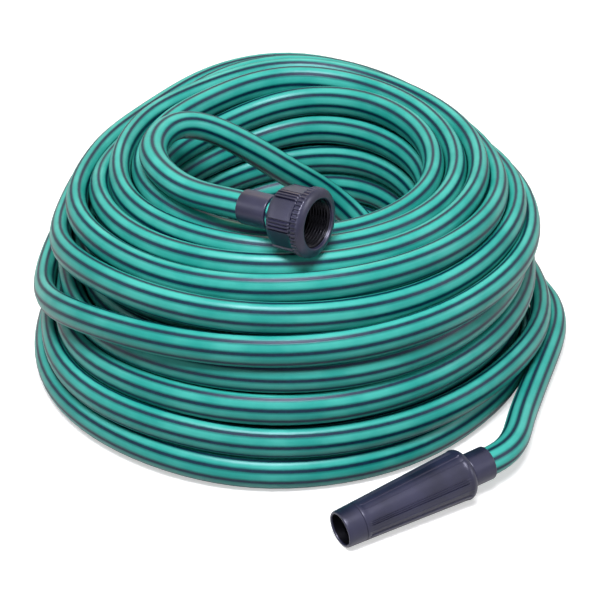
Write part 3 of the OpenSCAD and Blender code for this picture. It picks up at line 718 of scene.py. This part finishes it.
def nut_outline():
    """The nut's section: back, panels, ring, rounded mouth, thread and inner steps."""
    out = [(NUT_START, TAIL_HOLE_R), (NUT_START, 11.6), (22.75, 12.2), (23.3, 13.3),
           (24.2, 14.7), (25.2, 16.0), (26.2, 16.9), (27.2, 17.35)]
    out += [(t, NUT_R) for t in (30, 34, 38, 39.4, 40.1)]
    out += [(40.6, 17.3), (40.9, 16.9), (41.0, NECK_R), (41.65, NECK_R), (41.75, 18.6),
            (42.0, 19.0)]
    out += [(t, RING_R) for t in (42.4, 43.4, 44.4, 44.9, 45.4)]
    out += [(45.8, 19.1), (46.3, 18.8), (46.8, 18.2), (47.3, 17.4), (47.7, 16.5), (48.0, 15.6),
            (48.2, 14.8), (48.25, 14.25), (48.15, 13.95), (47.9, 13.75), (47.4, 13.6),
            (46.9, 13.5), (46.6, 13.4), (46.45, 13.25)]
    out += [(46.28 - THREAD_STEP * k, THREAD_R) for k in range(THREAD_RINGS)]
    return out + [(33.1, THREAD_R), (33.05, CAVITY_R), (CAVITY_START, CAVITY_R),
                  (CAVITY_START, TAIL_HOLE_R)]


def make_nut():
    """The nut, with painted shade: a darker black on the faces inside its mouth."""
    nut = lathe("nut_shell", nut_outline(), TAP_PLACE, TAP_WAY, 540, nut_shape)
    nut.data.materials.append(BLACK)
    nut.data.materials.append(BORE_PAINTED_SHADE)
    origin, axis = Vector(TAP_PLACE * MM), Vector(TAP_WAY)
    for poly in nut.data.polygons:
        off = poly.center - origin
        along = off.dot(axis)
        across = (off - axis * along).length
        if across < PAINTED_SHADE_FACES_R * MM and along < PAINTED_SHADE_FACES_END * MM:
            poly.material_index = 1
    return nut


nut = make_nut()
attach(nut, "swivel_nut")
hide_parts("tap_nut")

# ---------------------------------------------------------------- the nozzle's barrel and nose
BARREL_START, BARREL_BACK_R, BARREL_ROUND = 15.3, 14.8, 4
BARREL_TAPER = 4.4 / 82          # radius lost by length
PATTERN_R = 10.3                 # what is wider than this takes the panels and grooves
BARREL_PANELS, BARREL_ROLL = 4, 144     # BARREL_ROLL is in degrees
# Runs are: from, to, soft ends. Places on a panel are: degrees from its middle, half width,
# soft edge.
PANEL_RUN, PANEL_SINK = (19.5, 84.6, 2.0), 0.2
BOW_HALF, BOW_HIGH = 34, 0.15
EDGE_LINE, EDGE_RUN, EDGE_HIGH = (34.5, 0.7, 0.9), (18.5, 84.9, 1.6), 0.25
VALLEY_FROM, VALLEY_SOFT, VALLEY_DEEP = 35.2, 1.8, 0.45
GROOVES = [(middle, 0.5, 0.8) for middle in (4.5, 10, 15.5)]
GROOVE_RUN, GROOVE_DEEP = (20.5, 84.0, 1.2), 0.4
WIPER_R = 11.48                  # the barrel's bore round the wiper ring
STEM_THREAD_R, STEM_BORE_R, TIP_SEAT_R = 9.08, 7.95, 4.8


def barrel_shape(angle, along, radius):
    """Panels with a thin raised line at each edge and three grooves."""
    half = 180 / BARREL_PANELS
    d = (angle - BARREL_ROLL + half) % (2 * half) - half
    run = between(along, *PANEL_RUN)
    edge = EDGE_HIGH * bumps(np.abs(d), *EDGE_LINE) * between(along, *EDGE_RUN)
    valley = -VALLEY_DEEP * smooth((np.abs(d) - VALLEY_FROM) / VALLEY_SOFT) * run
    grooves = -GROOVE_DEEP * sum(bumps(d, *one) for one in GROOVES)
    grooves = grooves * between(along, *GROOVE_RUN)
    bow = BOW_HIGH * (1 - (d / BOW_HALF) ** 2).clip(0, 1) * run
    return radius + np.where(radius > PATTERN_R, edge + valley + grooves + bow - PANEL_SINK * run, 0)


def barrel_outline():
    """The barrel's section: wiper's seat, round back, taper, seat of the nose, tip and stem."""
    out = [(BARREL_START, WIPER_R)]
    for degrees in range(-90, 1, 9):
        a = math.radians(degrees)
        out.append((BARREL_START + BARREL_ROUND + BARREL_ROUND * math.sin(a),
                    BARREL_BACK_R - BARREL_ROUND + BARREL_ROUND * math.cos(a)))
    out += [(t, BARREL_BACK_R - (t - BARREL_START) * BARREL_TAPER)
            for t in (20, 21, 22, 24, 30, 40, 50, 60, 70, 78, 82, 83, 84, 84.6, 85.2, 85.8)]
    return out + [(86.1, 10.9), (86.2, 10.7), (86.2, 7.05), (82.3, 7.05), (82.3, TIP_SEAT_R),
                  (79.5, TIP_SEAT_R), (70.5, STEM_BORE_R), (29.6, STEM_BORE_R),
                  (29.6, STEM_THREAD_R), (19.6, STEM_THREAD_R), (19.6, WIPER_R)]


NICK, NICK_DEEP = (196, 3.0, 1.5), 0.55      # degrees: where, half width, soft edge
LIP_START, LIP_R = 96.2, 9.4     # the lip's inner edge lies beyond and inside these


def nose_shape(angle, along, radius):
    """A nick in the lip's inner edge."""
    return radius + NICK_DEEP * (bumps(angle, *NICK) * (along > LIP_START) * (radius < LIP_R))


NOSE_OUTLINE = [(82.35, 7.0), (86.28, 7.0), (86.32, 10.6), (86.45, 10.95), (87.0, 10.94),
                (91, 10.73), (95, 10.52), (96.4, 10.44), (96.9, 10.3), (97.2, 10.0),
                (97.3, 9.6), (97.25, 9.2), (97.0, 8.95), (96.5, 8.86), (95, 8.84), (92, 8.82),
                (90.05, 8.8), (90.0, 8.7), (90.0, 4.85), (82.35, 4.85)]
# A thin sheet just inside the nose's cup and over its floor, which carries the painted shade
SHADE_SHEET_OUTLINE = [(96.3, 8.80), (96.3, 8.74), (90.5, 8.68), (90.12, 8.4), (90.1, 5.2),
                  (90.02, 5.2), (90.03, 8.66)]

barrel = lathe("barrel_shell", barrel_outline(), NOZZLE_PLACE, NOZZLE_WAY, 540, barrel_shape)
nose = lathe("nose_shell", NOSE_OUTLINE, NOZZLE_PLACE, NOZZLE_WAY, 240, nose_shape)
# a dark sheet of painted shade inside the nose's cup
shade_sheet = lathe("nose_cup_painted_shade", SHADE_SHEET_OUTLINE, NOZZLE_PLACE, NOZZLE_WAY, 120)
for piece, mat in ((barrel, BLACK), (nose, BLACK), (shade_sheet, PAINTED_SHADE_BLACK)):
    piece.data.materials.append(mat)
    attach(piece, "barrel")
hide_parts("nozzle_barrel")
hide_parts("nozzle_nose")


# ---------------------------------------------------------------- floor and light
FLOOR_HALF = 6.0                 # metres
FLOOR_FEEL = 0.20                # how bright the floor is to the object, not to the camera
FLOOR_GLOW = 0.5                 # how strongly it shines for the camera
SKY_FEEL = 0.05                  # how bright the sky is to the object
# name, degrees to the right of the camera, metres out and up, sizes, watts, colour
LAMPS = [("overhead", -8, 0.66, 1.40, (0.6, 0.4), 30.0, (0.98, 0.97, 1.0)),
         ("front", -6, 1.4, 0.6, (0.8, 0.5), 1.6, (0.97, 0.97, 1.0)),
         ("left", -80, 1.2, 0.7, (0.4, 0.4), 1.6, (1, 1, 1)),
         ("right", 75, 1.2, 0.6, (0.4, 0.4), 3.0, (1, 1, 1)),
         ("behind", 180, 0.8, 1.1, (0.6, 0.3), 4.0, (1.0, 0.78, 0.5))]
LAMP_AIM = Vector((PILE.x, PILE.y, 0.05))


def grey(level):
    """A linear colour without hue."""
    return (level, level, level, 1)


def add_floor():
    """A white floor for the camera, and a darker one for the light under the pile."""
    w = FLOOR_HALF
    floor = new_object("floor", [(-w, -w, 0), (w, -w, 0), (w, w, 0), (-w, w, 0)], [(0, 1, 2, 3)])
    m = Surface("floor_pale")
    cloud = m.mix(m.noise(m.coords(), 3.0), grey(0.72), grey(0.76))
    camera_ray = m.node("LightPath").outputs["Is Camera Ray"]
    m.set(Base_Color=m.mix(m.seen_rays(), grey(FLOOR_FEEL), cloud), Roughness=0.7,
          Specular_IOR_Level=0.0, Emission_Color=grey(1),
          Emission_Strength=m.math("MULTIPLY", camera_ray, FLOOR_GLOW))
    floor.data.materials.append(m.owner)


def add_sky():
    """White where the camera looks, and dim as a light."""
    world = bpy.data.worlds.new("studio")
    bpy.context.scene.world = world
    sky = Nodes(world)
    glow = sky.node("Background")
    sky.put(glow.inputs["Color"], grey(1))
    sky.put(glow.inputs["Strength"], sky.ramp(sky.seen_rays(), 0.0, 1.0, SKY_FEEL, 1.0))
    sky.put(sky.node("OutputWorld").inputs["Surface"], glow.outputs[0])


def add_lamp(name, turn, out, up, sizes, power, tint):
    """A soft box that looks at the pile."""
    data = bpy.data.lights.new(name, "AREA")
    data.shape = "RECTANGLE"
    data.size, data.size_y = sizes
    data.energy = power
    data.color = tint
    lamp = bpy.data.objects.new(name, data)
    a = VIEW_TURN + math.radians(turn) - math.pi / 2
    lamp.location = (PILE.x + out * math.cos(a), PILE.y + out * math.sin(a), up)
    lamp.rotation_euler = (LAMP_AIM - lamp.location).to_track_quat("-Z", "Y").to_euler()
    bpy.context.scene.collection.objects.link(lamp)


add_floor()
add_sky()
for values in LAMPS:
    add_lamp(*values)

bpy.context.scene.view_settings.view_transform = "Standard"
